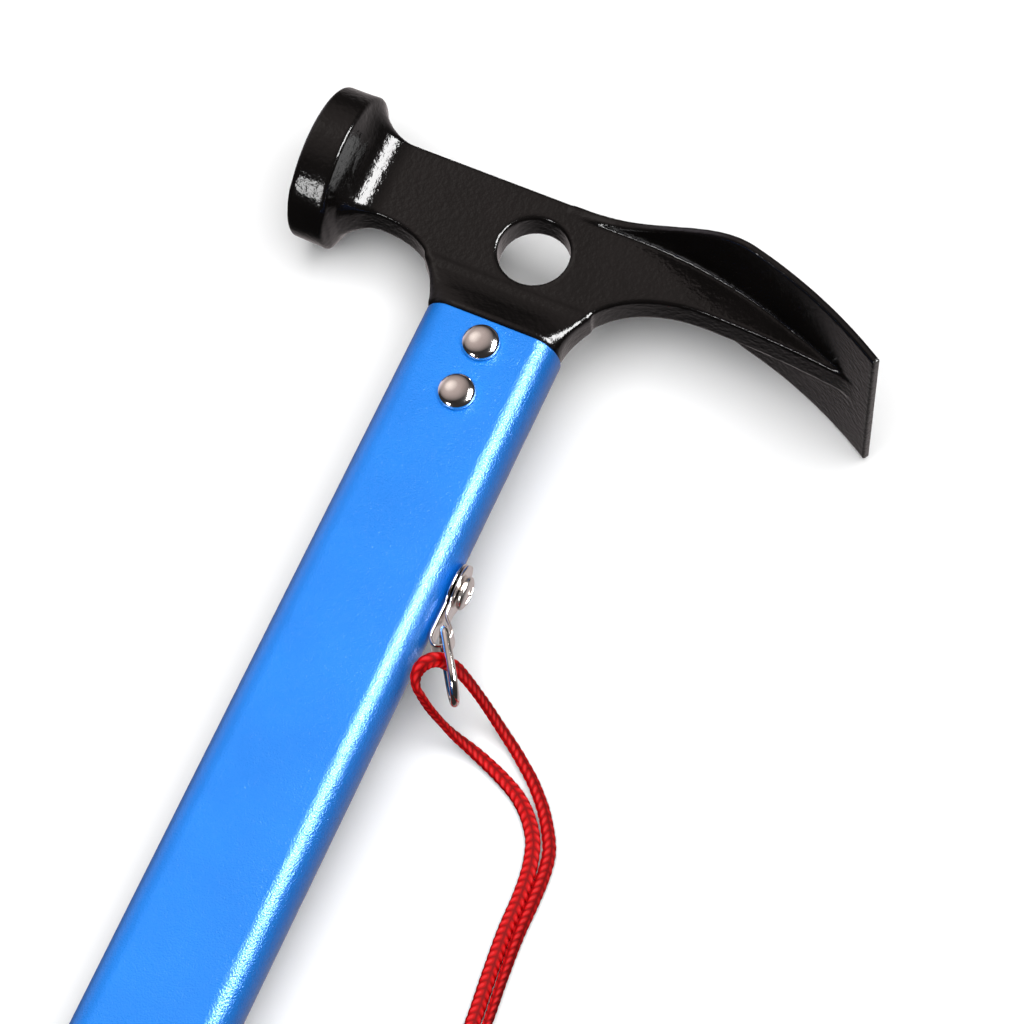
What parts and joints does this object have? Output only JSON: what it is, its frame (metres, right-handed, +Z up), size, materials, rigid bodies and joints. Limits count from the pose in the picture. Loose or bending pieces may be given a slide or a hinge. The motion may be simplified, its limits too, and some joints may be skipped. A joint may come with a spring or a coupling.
{
  "type": "rock hammer",
  "caption": "Small rock and camping hammer: forged steel head with a round poll and an adze blade, flat-oval aluminium tube handle, cord lanyard on a ring.",
  "frame": {"origin": "middle of the underside of the box of the hammer lying on its side, on the table", "axes": "+Z up from the table, along the thickness; +Y along the handle towards the head; +X towards the adze blade"},
  "size_m": [0.132, 0.313, 0.0497],
  "materials": {
    "head_paint": "gloss black paint with a fine orange peel",
    "handle_anodising": "bright blue anodising over a fine blasted surface",
    "cap_plastic": "fine grained black",
    "rivet_nickel": "polished",
    "fitting_nickel": "nickel plated",
    "screw_nickel": "nickel plated, satin",
    "lanyard_cord": "braided red polyester"
  },
  "bodies": {
    "hammer": {"hammer_head": "head_paint", "handle_tube": "handle_anodising", "handle_end_cap": "cap_plastic", "head_rivet_upper": "rivet_nickel", "head_rivet_lower": "rivet_nickel", "lanyard_tab": "fitting_nickel", "tab_screw": "screw_nickel"},
    "lanyard": {"lanyard_ring": "fitting_nickel", "lanyard_cord_inner": "lanyard_cord", "lanyard_cord_outer": "lanyard_cord", "lanyard_knot": "lanyard_cord"}
  },
  "joints": [
    {"name": "ring_swing", "type": "hinge", "parent": "hammer", "child": "lanyard", "pos_m": [0.00391, 0.0522, 0.0182], "axis": [0, 0, 1], "range_deg": [0, 112]}
  ]
}
